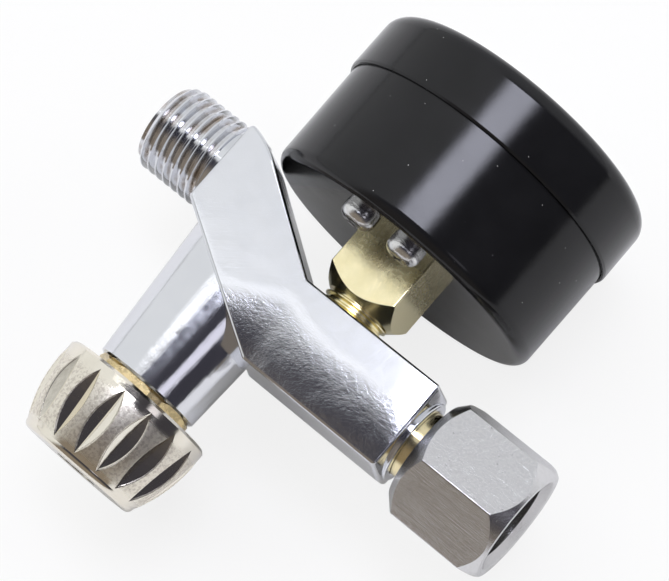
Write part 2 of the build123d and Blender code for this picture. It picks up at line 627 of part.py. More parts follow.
def make_sector():
    """The toothed segment with its arbor and the tail that the link pulls."""
    toward_pinion = SECTOR_DIRECTION + 180
    root = SECTOR_RADIUS - 0.28
    step = 360 / SECTOR_TEETH
    half_fan = SECTOR_CUT * step / 2
    first = toward_pinion - (SECTOR_TRAVEL + step / 2) / 2
    fan_outline = make_face(
        [
            Line((0, 0), polar(root, first - half_fan)),
            ThreePointArc(
                polar(root, first - half_fan), polar(root, first), polar(root, first + half_fan)
            ),
            Line(polar(root, first + half_fan), (0, 0)),
        ]
    )
    fan = Pos(0, 0, GEAR_LEVEL) * extrude(fan_outline, GEAR_THICK)
    window = Pos(*polar(root * 0.62, first), GEAR_LEVEL - 1) * Cylinder(0.9, 6)
    hub = rod(1.1, GEAR_LEVEL, GEAR_LEVEL + GEAR_THICK)
    tail_mid = polar(TAIL_LENGTH / 2, TAIL_REST)
    tail = Pos(*tail_mid, GEAR_LEVEL + GEAR_THICK / 2) * Rot(0, 0, TAIL_REST) * Box(TAIL_LENGTH, 1.4, GEAR_THICK)
    tail += Pos(*polar(TAIL_LENGTH, TAIL_REST), 0) * rod(0.7, GEAR_LEVEL, GEAR_LEVEL + GEAR_THICK)
    pin = Pos(*polar(TAIL_LENGTH, TAIL_REST), 0) * rod(TAIL_PIN_RADIUS, LINK_LEVEL - 0.1, GEAR_LEVEL + 0.1)
    arbor = rod(ARBOR_RADIUS, PLATE_BACK, FRONT_PLATE + PLATE_THICK)
    shape = fan - window + hub + tail + pin + arbor
    for tooth in gear_teeth(SECTOR_TEETH, SECTOR_CUT, first):
        shape += tooth
    return ON_GAUGE * Pos(*PIVOT, 0) * shape


def make_link():
    half = LINK_LENGTH / 2
    bar = slab(LINK_LENGTH, 1.0, LINK_LEVEL, LINK_LEVEL + LINK_THICK)
    for end in (-half, half):
        bar += Pos(end, 0, 0) * rod(1.1, LINK_LEVEL, LINK_LEVEL + LINK_THICK)
    bar -= Pos(-half, 0, 0) * rod(TAIL_PIN_RADIUS + 0.04, 0, 40)
    bar -= Pos(half, 0, 0) * rod(TIP_PIN_RADIUS + TIP_PIN_PLAY, 0, 40)
    middle = polar(half, TIP_DIRECTION, TAIL)
    return ON_GAUGE * Pos(*middle, 0) * Rot(0, 0, TIP_DIRECTION) * bar


def tube_shape(width, thick, start, sweep_angle):
    """A flattened tube bent to a circle about Z, from one direction through an angle."""
    section = Pos(TUBE_RADIUS, 0, TUBE_LEVEL) * (Plane.XZ * SlotOverall(width, thick, rotation=90))
    return Rot(0, 0, TUBE_START + start) * revolve(section, axis=Axis.Z, revolution_arc=sweep_angle)


def make_tube():
    outer = tube_shape(TUBE_WIDTH, TUBE_THICK, 0, TUBE_SWEEP)
    wall = 0.3
    inner = tube_shape(TUBE_WIDTH - 2 * wall, TUBE_THICK - 2 * wall, -0.5, TUBE_SWEEP - 1.5)
    return ON_GAUGE * (outer - inner)


def make_tip():
    """The block brazed into the tube's free end, with the pin for the link."""
    end_angle = TUBE_START + TUBE_SWEEP
    block_angle = end_angle + 3.7
    block = Pos(*polar(TUBE_RADIUS, block_angle), 0) * Rot(0, 0, block_angle) * slab(
        2.6, 1.6, TUBE_LEVEL - 2.0, TUBE_LEVEL + 2.0
    )
    ear_level = LINK_LEVEL - 0.15
    ear_outline = make_hull(
        (Pos(*TIP_PIN) * Circle(1.0) + Pos(*polar(TUBE_RADIUS - 0.9, block_angle)) * Circle(0.7)).edges()
    )
    ear = Pos(0, 0, ear_level - 0.9) * extrude(ear_outline, 0.9)
    pin = Pos(*TIP_PIN, 0) * rod(TIP_PIN_RADIUS, ear_level - 0.1, LINK_LEVEL + LINK_THICK + 0.3)
    return ON_GAUGE * (block + ear + pin)


def movement_plate(start):
    """A round-ended plate that carries both arbors."""
    outline = make_hull(
        (
            Pos(*PILLAR_PLACES[0]) * Circle(1.8) + Pos(*PILLAR_PLACES[1]) * Circle(1.8)
            + Pos(*PIVOT) * Circle(2.2)
        ).edges()
    )
    plate = Pos(0, 0, start) * extrude(outline, PLATE_THICK)
    plate -= rod(PIVOT_HOLE, 0, 40) + Pos(*PIVOT, 0) * rod(PIVOT_HOLE, 0, 40)
    return plate


def make_back_plate():
    plate = movement_plate(PLATE_BACK)
    for x, y in PLATE_SCREWS:
        plate += Pos(x, y, 0) * rod(1.3, FOOT_END, PLATE_BACK + 0.01)
        plate -= Pos(x, y, 0) * rod(0.65, 0, 40)
    for x, y in PILLAR_PLACES:
        plate -= Pos(x, y, 0) * rod(0.8, 0, 40)
    return ON_GAUGE * plate


def make_front_plate():
    plate = movement_plate(FRONT_PLATE)
    for x, y in PILLAR_PLACES:
        plate -= Pos(x, y, 0) * rod(0.8, 0, 40)
    stud = polar(SPRING_OUTER + 0.3, SPRING_END)
    plate += Pos(*stud, 0) * rod(0.28, SPRING_LEVEL, FRONT_PLATE + 0.01)
    return ON_GAUGE * plate


def make_pillars():
    """Shouldered posts between the plates; the dial is screwed to their front ends."""
    pillars = []
    for x, y in PILLAR_PLACES:
        post = rod(0.78, PLATE_BACK, FRONT_PLATE) + rod(1.3, PLATE_BACK + PLATE_THICK, FRONT_PLATE)
        post += rod(0.78, FRONT_PLATE - 0.01, FRONT_PLATE + PLATE_THICK)
        post += rod(1.3, FRONT_PLATE + PLATE_THICK, DIAL_LEVEL)
        post -= rod(0.61, DIAL_LEVEL - 2.6, DIAL_LEVEL + 1)
        pillars.append(ON_GAUGE * Pos(x, y, 0) * post)
    return pillars


def make_movement_screws():
    head_level = PLATE_BACK + PLATE_THICK
    return [
        ON_GAUGE * Pos(x, y, head_level) * pan_screw(1.1, 0.7, 0.61, head_level - FOOT_END + 1.8, slot=0.3)
        for x, y in PLATE_SCREWS
    ]


def make_hairspring():
    """A flat spiral between the pinion and the front plate, its outer end at the plate's stud."""
    steps = 24
    growth = (SPRING_OUTER - SPRING_INNER) / SPRING_TURNS
    points = [
        polar(SPRING_INNER + growth * step / steps, SPRING_END + 360 * step / steps)
        for step in range(int(steps * SPRING_TURNS) + 1)
    ]
    ribbon = extrude(make_face(trace(Spline(*points), 0.12)), 0.4)
    return ON_GAUGE * Pos(0, 0, SPRING_LEVEL) * ribbon


POINTER_REST = 225.0      # direction of zero on the dial
POINTER_LENGTH = 14.6


def make_pointer():
    hub = rod(1.9, POINTER_LEVEL, POINTER_LEVEL + 1.0) - rod(ARBOR_RADIUS + 0.005, 0, 40)
    blade_outline = Polyline(
        (-4.6, -0.95), (-1.4, -0.75), (POINTER_LENGTH - 1, -0.32), (POINTER_LENGTH, 0),
        (POINTER_LENGTH - 1, 0.32), (-1.4, 0.75), (-4.6, 0.95), close=True,
    )
    blade = Pos(0, 0, POINTER_LEVEL + 0.2) * extrude(make_face(blade_outline), 0.35)
    blade -= rod(1.5, 0, 40)
    return ON_GAUGE * Rot(0, 0, POINTER_REST) * (hub + blade)


# ---- write every piece ------------------------------------------------------------------------

PIECES = {
    "body": make_body,
    "bonnet": make_bonnet,
    "bonnet_washer": make_bonnet_washer,
    "spindle": make_spindle,
    "spindle_o_ring": make_stem_ring,
    "adjusting_knob": make_knob,
    "knob_screw": make_knob_screw,
    "outlet_nipple": make_nipple,
    "swivel_nut": make_nut,
    "gauge_socket": make_socket,
    "gauge_case": make_case,
    "case_screws": make_case_screws,
    "gauge_bezel": make_bezel,
    "gauge_window": make_window,
    "window_gasket": make_window_gasket,
    "dial_plate": make_dial,
    "dial_screws": make_dial_screws,
    "pointer": make_pointer,
    "pinion_arbor": make_pinion,
    "sector_gear": make_sector,
    "link": make_link,
    "bourdon_tube": make_tube,
    "tube_tip": make_tip,
    "movement_back_plate": make_back_plate,
    "movement_front_plate": make_front_plate,
    "movement_pillars": make_pillars,
    "movement_screws": make_movement_screws,
    "hairspring": make_hairspring,
}

for name, make in PIECES.items():
    shape = make()
    solids = shape if isinstance(shape, list) else shape.solids()
    export_step(Compound(children=list(solids)), f"parts/{name}.step")
    print(name, round(sum(solid.volume for solid in solids), 2))
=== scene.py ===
"""Looks for the air adjusting valve with its pressure gauge: finishes, dial print, light and camera."""
import json
import math

import bmesh
import bpy
from mathutils import Matrix, Vector

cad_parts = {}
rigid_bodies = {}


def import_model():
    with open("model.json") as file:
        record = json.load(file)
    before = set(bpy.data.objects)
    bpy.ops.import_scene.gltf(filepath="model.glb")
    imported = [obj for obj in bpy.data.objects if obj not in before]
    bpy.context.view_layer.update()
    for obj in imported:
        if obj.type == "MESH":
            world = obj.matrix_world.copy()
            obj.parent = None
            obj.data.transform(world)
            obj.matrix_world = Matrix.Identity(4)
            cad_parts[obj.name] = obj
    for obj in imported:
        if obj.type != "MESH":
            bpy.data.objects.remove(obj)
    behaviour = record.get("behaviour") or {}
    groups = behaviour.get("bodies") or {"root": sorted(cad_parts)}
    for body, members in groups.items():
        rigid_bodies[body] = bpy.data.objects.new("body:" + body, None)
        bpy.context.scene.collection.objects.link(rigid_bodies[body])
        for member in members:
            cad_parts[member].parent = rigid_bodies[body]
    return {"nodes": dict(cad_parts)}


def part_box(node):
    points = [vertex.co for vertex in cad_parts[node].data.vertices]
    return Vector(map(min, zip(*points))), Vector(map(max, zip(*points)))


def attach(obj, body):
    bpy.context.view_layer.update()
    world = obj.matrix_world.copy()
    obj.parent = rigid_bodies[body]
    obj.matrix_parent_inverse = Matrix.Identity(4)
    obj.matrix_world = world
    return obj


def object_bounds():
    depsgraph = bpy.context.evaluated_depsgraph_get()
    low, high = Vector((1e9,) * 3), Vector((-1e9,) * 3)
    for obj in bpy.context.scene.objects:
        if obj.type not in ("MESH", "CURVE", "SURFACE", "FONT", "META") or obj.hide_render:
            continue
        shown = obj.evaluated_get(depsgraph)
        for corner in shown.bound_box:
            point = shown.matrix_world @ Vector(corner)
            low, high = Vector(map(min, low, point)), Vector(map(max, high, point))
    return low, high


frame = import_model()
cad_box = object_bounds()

MM = 0.001

# Places that the finishes and the dial print need, in the row frame, in millimetres
body_low, body_high = (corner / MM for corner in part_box("body"))
knob_low, knob_high = (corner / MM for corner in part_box("adjusting_knob"))
nut_low, nut_high = (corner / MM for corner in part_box("swivel_nut"))
dial_low, dial_high = (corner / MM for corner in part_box("dial_plate"))

KNOB_X = (knob_low.x + knob_high.x) / 2
GAUGE_X = (dial_low.x + dial_high.x) / 2
OUTLET_Y = (nut_low.y + nut_high.y) / 2
FACE_Z = body_high.z

# The crowned polish of the body's flat face, in millimetres
ARM_EDGE_Y = 6.9                      # where the slanted arm's outer edge crosses x = 0
ARM_EDGE_INWARD = (-0.519, -0.855)    # direction from that edge into the face
STRAIGHT_EDGE = 6.6                   # the straight end's outer edge, from the outlet's axis
END_EDGE = 3.8                        # the third edge, beyond the body's end, where it bends less
EDGE_JOIN = 4.0                       # how softly the three edges run into each other
CROWN_X = (-9.0, -21.0)               # the crown widens from the first x to the second
CROWN_WIDTH = (0.5, 8.8)
CROWN_DROP = -0.0135                  # per square millimetre outwards from the crown's inner border

# The knob's barrel over its lands: radius = KNOB_RADIUS + KNOB_SLOPE * up + KNOB_CURVE * up * up
KNOB_RIM = 1.3                        # up is counted from this far above the knob's rim
KNOB_RADIUS = 11.3
KNOB_SLOPE = 0.0733
KNOB_CURVE = -0.0279
LAND_START = 2.2                      # from the knob's rim
LAND_END = 1.6                        # from its outer end


# ---- node trees ---------------------------------------------------------------------------------

class Tree:
    """Short names for the shader nodes used here. Lengths are in millimetres."""

    def __init__(self, tree):
        self.tree = tree
        self.objects = None

    def new(self, kind, **settings):
        node = self.tree.nodes.new(kind)
        for name, value in settings.items():
            setattr(node, name, value)
        return node

    def put(self, socket, value):
        if isinstance(value, bpy.types.NodeSocket):
            self.tree.links.new(value, socket)
        else:
            socket.default_value = value

    def place(self):
        """Position in the row frame, in millimetres."""
        if self.objects is None:
            coordinates = self.new("ShaderNodeTexCoord")
            grown = self.new("ShaderNodeVectorMath", operation="SCALE")
            self.put(grown.inputs[0], coordinates.outputs["Object"])
            grown.inputs["Scale"].default_value = 1 / MM
            self.objects = grown.outputs[0]
        return self.objects

    def axes(self, vector=None):
        split = self.new("ShaderNodeSeparateXYZ")
        self.put(split.inputs[0], vector or self.place())
        return split.outputs

    def math(self, operation, a, b=0.0, c=0.0):
        node = self.new("ShaderNodeMath", operation=operation)
        for socket, value in zip(node.inputs, (a, b, c)):
            self.put(socket, value)
        return node.outputs[0]

    def times(self, a, b):
        return self.math("MULTIPLY", a, b)

    def plus(self, a, b):
        return self.math("ADD", a, b)

    def minus(self, a, b):
        return self.math("SUBTRACT", a, b)

    def vector(self, operation, a, b=(0, 0, 0)):
        node = self.new("ShaderNodeVectorMath", operation=operation)
        self.put(node.inputs[0], a)
        self.put(node.inputs[1], b)
        return node.outputs["Value" if operation == "LENGTH" else "Vector"]

    def shift(self, scale, turn=(0, 0, 0)):
        """The place, turned by degrees and then scaled, for a stretched pattern."""
        turned = self.new("ShaderNodeMapping", vector_type="TEXTURE")
        self.put(turned.inputs["Vector"], self.place())
        turned.inputs["Rotation"].default_value = [math.radians(angle) for angle in turn]
        scaled = self.new("ShaderNodeVectorMath", operation="MULTIPLY")
        self.put(scaled.inputs[0], turned.outputs[0])
        scaled.inputs[1].default_value = scale
        return scaled.outputs[0]

    def noise(self, size, detail=2.0, rough=0.5, vector=None):
        """Soft noise from 0 to 1 whose lumps are about size millimetres across."""
        node = self.new("ShaderNodeTexNoise")
        self.put(node.inputs["Vector"], vector or self.place())
        node.inputs["Scale"].default_value = 1 / size
        node.inputs["Detail"].default_value = detail
        node.inputs["Roughness"].default_value = rough
        return node.outputs[0]

    def cells(self, size):
        """Distance from the nearest of points scattered about size millimetres apart."""
        node = self.new("ShaderNodeTexVoronoi")
        self.put(node.inputs["Vector"], self.place())
        node.inputs["Scale"].default_value = 1 / size
        return node.outputs["Distance"]

    def step(self, value, low, high, out_low=0.0, out_high=1.0):
        """A smooth step: out_low below low, out_high above high."""
        node = self.new("ShaderNodeMapRange", interpolation_type="SMOOTHSTEP")
        self.put(node.inputs["Value"], value)
        names = ("From Min", "From Max", "To Min", "To Max")
        for name, number in zip(names, (low, high, out_low, out_high)):
            self.put(node.inputs[name], number)
        return node.outputs[0]

    def window(self, value, low, high, soft):
        """1 between low and high, falling to 0 over soft on each side."""
        rising = self.step(value, low - soft, low + soft)
        return self.times(rising, self.step(value, high - soft, high + soft, 1, 0))

    def mix(self, share, a, b):
        """A colour between a and b."""
        node = self.new("ShaderNodeMix", data_type="RGBA")
        self.put(node.inputs[0], share)
        for socket, color in ((node.inputs[6], a), (node.inputs[7], b)):
            self.put(socket, color if isinstance(color, bpy.types.NodeSocket) else (*color, 1))
        return node.outputs[2]

    def lerp(self, share, a, b):
        """A number between a and b."""
        node = self.new("ShaderNodeMix", data_type="FLOAT")
        self.put(node.inputs[0], share)
        self.put(node.inputs[2], a)
        self.put(node.inputs[3], b)
        return node.outputs[0]


class Finish(Tree):
    """A material with a principled shader, built up from procedural layers."""

    def __init__(self, name, color, metallic=0.0, roughness=0.5, **sockets):
        self.material = bpy.data.materials.new(name)
        self.material.use_nodes = True
        super().__init__(self.material.node_tree)
        self.shader = self.tree.nodes["Principled BSDF"]
        self.normal = None
        self.set("Base Color", (*color, 1))
        self.set("Metallic", metallic)
        self.set("Roughness", roughness)
        for socket, value in sockets.items():
            self.set(socket.replace("_", " "), value)

    def set(self, socket, value):
        self.put(self.shader.inputs[socket], value)

    def bump(self, height, depth):
        """Adds relief: height from 0 to 1 stands for depth millimetres."""
        node = self.new("ShaderNodeBump")
        node.inputs["Strength"].default_value = 1.0
        node.inputs["Distance"].default_value = depth * MM
        self.put(node.inputs["Height"], height)
        if self.normal is not None:
            self.put(node.inputs["Normal"], self.normal)
        self.normal = node.outputs[0]
        self.set("Normal", self.normal)

    def facing(self):
        """The unbent surface normal's three parts."""
        geometry = self.new("ShaderNodeNewGeometry")
        return self.axes(geometry.outputs["Normal"])

    def distance_from_axis(self, along, centre):
        """Distance from an axis that runs along 'X', 'Y' or 'Z' through centre."""
        moved = self.vector("SUBTRACT", self.place(), centre)
        keep = {"X": (0, 1, 1), "Y": (1, 0, 1), "Z": (1, 1, 0)}[along]
        return self.vector("LENGTH", self.vector("MULTIPLY", moved, keep))


def wear(*nodes_and_finish):
    """Gives the last argument's material to the CAD nodes named before it."""
    *names, finish = nodes_and_finish
    for name in names:
        for slot in frame["nodes"][name].material_slots:
            slot.material = finish.material


# ---- finishes -----------------------------------------------------------------------------------

def chrome_casting():
    """Chrome plate: a hand-polished flat face, rippled side walls as cast, grime in the thread."""
    chrome = Finish("chrome_casting", (0.75, 0.76, 0.79), metallic=1.0)
    x, y, z = chrome.axes()
    front = chrome.step(chrome.facing()[2], 0.93, 0.99)
    front = chrome.times(front, chrome.step(z, FACE_Z - 0.3, FACE_Z - 0.1))

    # The polishing wheel has crowned the face towards three outer edges, smoothly joined
    arm_edge = chrome.times(chrome.minus(ARM_EDGE_Y, y), -ARM_EDGE_INWARD[1])
    arm_edge = chrome.plus(arm_edge, chrome.times(x, ARM_EDGE_INWARD[0]))
    straight_edge = chrome.minus(OUTLET_Y + STRAIGHT_EDGE, y)
    end_edge = chrome.plus(x, END_EDGE - body_low.x)
    distance = chrome.math("SMOOTH_MIN", arm_edge, straight_edge, EDGE_JOIN)
    distance = chrome.math("SMOOTH_MIN", distance, end_edge, EDGE_JOIN)
    reach = chrome.lerp(chrome.step(x, *CROWN_X), *CROWN_WIDTH)
    reach = chrome.plus(reach, chrome.noise(7.0))
    inside = chrome.math("MAXIMUM", chrome.minus(reach, distance), 0.0)
    crown = chrome.times(chrome.times(inside, inside), CROWN_DROP)
    chrome.bump(chrome.times(crown, front), 1.0)
    crowned = chrome.times(chrome.step(inside, 0.5, 3.0), front)

    # Polishing hairlines on the face, a soft orange peel, a mottle on the crown, and ripples as cast
    hair = chrome.noise(1.0, 4, 0.6, chrome.shift((0.35, 9.0, 3.0), turn=(0, 0, 38)))
    crossing = chrome.noise(1.0, 3, 0.6, chrome.shift((0.5, 7.0, 3.0), turn=(0, 0, 71)))
    hair = chrome.plus(chrome.times(hair, 0.6), chrome.times(crossing, 0.4))
    chrome.bump(chrome.times(hair, front), 0.007)
    chrome.bump(chrome.noise(0.55, 3, 0.55), 0.003)
    chrome.bump(chrome.times(chrome.noise(0.5, 5, 0.7), crowned), 0.035)
    chrome.bump(chrome.noise(5.0), 0.025)
    cast = chrome.times(chrome.minus(1.0, front), chrome.step(x, 1.0, 0.4))
    ripple = chrome.noise(1.2, 4, 0.6, chrome.shift((1.2, 0.15, 1.2)))
    chrome.bump(chrome.times(ripple, cast), 0.02)

    # Brown grime in the thread's roots
    radius = chrome.distance_from_axis("X", (0, 0, 0))
    grime = chrome.times(chrome.step(radius, 6.35, 5.9), chrome.step(x, 0.2, 0.9))
    grime = chrome.times(grime, chrome.step(chrome.noise(3.0, detail=3), 0.35, 0.75))
    color = chrome.mix(chrome.noise(4.0, detail=3), (0.72, 0.735, 0.77), (0.78, 0.79, 0.815))
    color = chrome.mix(grime, color, (0.42, 0.36, 0.30))
    chrome.set("Base Color", color)
    rough = chrome.lerp(front, 0.07, 0.10)
    rough = chrome.plus(rough, chrome.times(chrome.noise(1.4, detail=4), 0.05))
    rough = chrome.plus(rough, chrome.times(grime, 0.25))
    chrome.set("Roughness", rough)
    return chrome


def nickel_casting():
    """Warm nickel plate: cast grain on the lands between the grooves, smooth elsewhere."""
    nickel = Finish("nickel_casting", (0.80, 0.75, 0.67), metallic=1.0)
    y = nickel.axes()[1]
    radius = nickel.distance_from_axis("Y", (KNOB_X, 0, 0))
    up = nickel.minus(y, knob_low.y + KNOB_RIM)
    barrel = nickel.math("MULTIPLY_ADD", nickel.times(up, up), KNOB_CURVE, KNOB_RADIUS)
    barrel = nickel.math("MULTIPLY_ADD", up, KNOB_SLOPE, barrel)
    on_barrel = nickel.step(nickel.minus(barrel, radius), 0.16, 0.08)
    land = nickel.window(y, knob_low.y + LAND_START, knob_high.y - LAND_END, 0.6)
    land = nickel.times(on_barrel, land)
    grain = nickel.noise(0.42, detail=4, rough=0.65)
    nickel.bump(nickel.times(grain, land), 0.045)
    nickel.bump(nickel.noise(1.8, detail=3), 0.02)
    nickel.bump(nickel.noise(0.4, detail=3), 0.004)
    color = nickel.mix(nickel.noise(2.2, detail=4), (0.80, 0.75, 0.64), (0.91, 0.87, 0.77))
    dirt = nickel.times(land, nickel.step(grain, 0.55, 0.40))
    color = nickel.mix(nickel.times(dirt, 0.4), color, (0.36, 0.30, 0.24))
    nickel.set("Base Color", color)
    smooth = nickel.lerp(nickel.noise(0.9, detail=3), 0.07, 0.14)
    nickel.set("Roughness", nickel.lerp(land, smooth, 0.4))
    return nickel


def plated_nut():
    """Zinc-plated steel with fine tool lines along the nut, small pits and painted shade darkening the
    bore.
    """
    nut = Finish("plated_nut", (0.66, 0.66, 0.66), metallic=1.0)
    radius = nut.distance_from_axis("X", (0, OUTLET_Y, 0))
    lines = nut.noise(1.0, detail=4, rough=0.7, vector=nut.shift((0.12, 8.0, 8.0)))
    nut.bump(lines, 0.018)
    nut.bump(nut.noise(0.3, detail=4, rough=0.7), 0.010)
    nut.bump(nut.noise(6.0, detail=1), 0.05)
    pits = nut.times(nut.step(nut.cells(0.8), 0.16, 0.08), nut.step(nut.noise(1.7), 0.48, 0.56))
    nut.bump(pits, -0.02)
    color = nut.mix(nut.noise(0.3, detail=4, rough=0.7), (0.56, 0.555, 0.55), (0.80, 0.80, 0.81))
    # Painted shade: the bore is darkened towards grey-brown, standing in for the shade inside it
    inside = nut.step(radius, 7.2, 6.9)
    color = nut.mix(nut.times(inside, 0.35), color, (0.30, 0.29, 0.28))
    color = nut.mix(nut.times(pits, 0.6), color, (0.25, 0.24, 0.23))
    nut.set("Base Color", color)
    nut.set("Roughness", nut.lerp(nut.noise(1.2, detail=4), 0.16, 0.26))
    return nut


def brass(name, color, tint, tool_marks, rough=(0.12, 0.28), dull=0.0):
    """Brass or bronze: tool_marks is the stretch of its machining lines, dull the share of tarnish."""
    metal = Finish(name, color, metallic=1.0)
    marks = metal.noise(1.0, detail=4, rough=0.65, vector=metal.shift(tool_marks))
    metal.bump(marks, 0.010)
    metal.bump(metal.noise(0.7, detail=4, rough=0.6), 0.012)
    tone = metal.mix(metal.noise(1.6, detail=4), color, tint)
    spread = dull * 0.3
    dark_mottle = metal.step(metal.noise(1.1, detail=5, rough=0.7), 0.62 - spread, 0.75 - spread)
    tarnish = tuple(part * 0.45 for part in color)
    metal.set("Base Color", metal.mix(metal.times(dark_mottle, dull), tone, tarnish))
    metal.set("Roughness", metal.lerp(metal.noise(0.8, detail=3), *rough))
    return metal


def socket_brass():
    """The gauge's wrench square: brushed flats, darker and mottled towards the case."""
    metal = Finish("socket_brass", (0.82, 0.68, 0.33), metallic=1.0)
    y = metal.axes()[1]
    brushed = metal.noise(1.0, 4, 0.65, metal.shift((6.0, 0.35, 6.0), turn=(0, 0, 12)))
    metal.bump(brushed, 0.012)
    metal.bump(metal.noise(3.5, detail=1), 0.06)
    # Darker, mottled and rougher towards the case, where the square meets the black gauge case
    near_case = metal.step(y, 0.4, -3.6)
    speckle = metal.noise(0.5, detail=5, rough=0.7)
    dark_mottle = metal.times(near_case, metal.step(speckle, 0.36, 0.62))
    tone = metal.mix(metal.noise(1.8, detail=4), (0.90, 0.80, 0.47), (0.96, 0.88, 0.58))
    metal.set("Base Color", metal.mix(metal.times(dark_mottle, 0.45), tone, (0.30, 0.24, 0.09)))
    rough = metal.lerp(brushed, 0.16, 0.26)
    metal.set("Roughness", metal.plus(rough, metal.times(dark_mottle, 0.15)))
    return metal


def black_enamel():
    """Gloss black enamel with a faint orange peel and a few pale specks of dust."""
    enamel = Finish("black_enamel", (0.006, 0.006, 0.007), roughness=0.1, Specular_IOR_Level=0.3)
    enamel.bump(enamel.noise(1.3, detail=2), 0.006)
    enamel.bump(enamel.noise(9.0, detail=1), 0.05)
    specks = enamel.step(enamel.cells(1.3), 0.055, 0.035)
    rare = enamel.step(enamel.noise(2.1, detail=1), 0.55, 0.6)
    specks = enamel.times(specks, rare)
    color = enamel.mix(enamel.noise(6.0, detail=3), (0.004, 0.004, 0.0045), (0.009, 0.009, 0.010))
    enamel.set("Base Color", enamel.mix(specks, color, (0.45, 0.45, 0.44)))
    rough = enamel.lerp(enamel.noise(3.0, detail=4), 0.1, 0.17)
    enamel.set("Roughness", enamel.plus(rough, enamel.times(specks, 0.5)))
    return enamel


def zinc_screw():
    """Dull, lumpy zinc plate."""
    zinc = Finish("zinc_screw", (0.62, 0.62, 0.62), metallic=1.0)
    zinc.bump(zinc.noise(0.9, detail=3, rough=0.6), 0.07)
    zinc.bump(zinc.noise(0.25, detail=3), 0.012)
    zinc.set("Base Color", zinc.mix(zinc.noise(0.8, detail=4), (0.66, 0.66, 0.65), (0.84, 0.84, 0.84)))
    zinc.set("Roughness", zinc.lerp(zinc.noise(0.5, detail=3), 0.16, 0.3))
    return zinc


def painted(name, color, tint, grain=0.25):
    """Matt paint or print with a fine grain."""
    paint = Finish(name, color)
    paint.bump(paint.noise(grain, detail=3), 0.004)
    paint.set("Base Color", paint.mix(paint.noise(2.5, detail=4), color, tint))
    paint.set("Roughness", paint.lerp(paint.noise(1.0, detail=3), 0.4, 0.55))
    return paint


def seal(name, color, tint):
    """Rubber or fibre: matt, with a fine mottle."""
    soft = Finish(name, color, roughness=0.7)
    soft.bump(soft.noise(0.12, detail=4, rough=0.7), 0.02)
    soft.set("Base Color", soft.mix(soft.noise(0.4, detail=5, rough=0.7), color, tint))
    soft.set("Roughness", soft.lerp(soft.noise(0.6), 0.6, 0.8))
    return soft


def window_glass():
    """Clear glass, slightly hazy in patches."""
    glass = Finish("window_glass", (0.96, 0.98, 0.98), Transmission_Weight=1.0, IOR=1.5)
    glass.set("Roughness", glass.step(glass.noise(6.0, detail=5, rough=0.6), 0.5, 0.8, 0.0, 0.05))
    glass.set("Base Color", glass.mix(glass.noise(8.0), (0.95, 0.97, 0.97), (0.98, 0.99, 0.99)))
    return glass


turned = brass("turned_brass", (0.86, 0.74, 0.42), (0.92, 0.82, 0.54), (6.0, 0.3, 0.3))
marks_black = painted("pointer_black", (0.015, 0.015, 0.016), (0.03, 0.03, 0.03))
zinc = zinc_screw()
enamel = black_enamel()
rubber = seal("seal_rubber", (0.02, 0.02, 0.02), (0.045, 0.044, 0.042))
bonnet_brass = brass(
    "bonnet_brass", (0.66, 0.52, 0.27), (0.78, 0.64, 0.36), (0.3, 5.0, 5.0), (0.2, 0.38), dull=0.55
)
plate_brass = brass("plate_brass", (0.80, 0.66, 0.35), (0.85, 0.72, 0.42), (0.3, 5.0, 5.0))
bronze = brass("tube_bronze", (0.72, 0.48, 0.27), (0.78, 0.56, 0.34), (0.3, 6.0, 0.3), dull=0.3)

wear("body", chrome_casting())
wear("adjusting_knob", nickel_casting())
wear("swivel_nut", plated_nut())
wear("gauge_socket", socket_brass())
wear("bonnet", bonnet_brass)
wear("outlet_nipple", "pinion_arbor", "sector_gear", "link", "tube_tip", "spindle", turned)
wear("movement_pillars", turned)
wear("movement_back_plate", "movement_front_plate", plate_brass)
wear("bourdon_tube", "hairspring", bronze)
wear("case_screws", "knob_screw", "dial_screws", "movement_screws", zinc)
wear("gauge_case", "gauge_bezel", enamel)
wear("spindle_o_ring", "window_gasket", rubber)
wear("bonnet_washer", seal("fibre", (0.40, 0.13, 0.08), (0.52, 0.20, 0.12)))
wear("dial_plate", painted("dial_white", (0.86, 0.86, 0.83), (0.91, 0.91, 0.88), grain=0.4))
wear("pointer", marks_black)
wear("gauge_window", window_glass())


# ---- dial print ---------------------------------------------------------------------------------

SCALE_START = 225.0       # direction of zero, degrees counterclockwise from +X as the dial is read
SCALE_SWEEP = 270.0
DIAL_FACE = -dial_low.y   # distance of the printed face from the inlet axis, along -Y
PRINT_THICK = 0.02        # above the dial
PRINT_SUNK = 0.01         # below it
TEXT_SUNK = 0.005
TEXT_BOLD = 0.012         # share of the digits' size by which their strokes are widened
ARC_STEPS = 90


def dial_point(radius, angle, level=0.0):
    """A point over the dial, in metres, at a radius and direction as the dial is read."""
    return Vector((
        (GAUGE_X + radius * math.cos(math.radians(angle))) * MM,
        -(DIAL_FACE + level) * MM,
        radius * math.sin(math.radians(angle)) * MM,
    ))


def add_plate(bm, outline):
    """A thin raised patch of print from its outline, a list of (radius, angle)."""
    low = [bm.verts.new(dial_point(radius, angle, -PRINT_SUNK)) for radius, angle in outline]
    high = [bm.verts.new(dial_point(radius, angle, PRINT_THICK)) for radius, angle in outline]
    bm.faces.new(high)
    bm.faces.new(list(reversed(low)))
    for index in range(len(outline)):
        after = (index + 1) % len(outline)
        bm.faces.new((low[index], low[after], high[after], high[index]))


def add_tick(bm, inner, outer, angle, width):
    """A radial mark of even width."""
    low, high = (math.degrees(width / 2 / radius) for radius in (inner, outer))
    corners = [(inner, angle - low), (outer, angle - high), (outer, angle + high), (inner, angle + low)]
    add_plate(bm, corners)


def add_arc(bm, inner, outer):
    """The line that joins a scale's marks."""
    for index in range(ARC_STEPS):
        first, last = (SCALE_START - SCALE_SWEEP * (index + side) / ARC_STEPS for side in (0, 1))
        add_plate(bm, [(inner, first), (outer, first), (outer, last), (inner, last)])


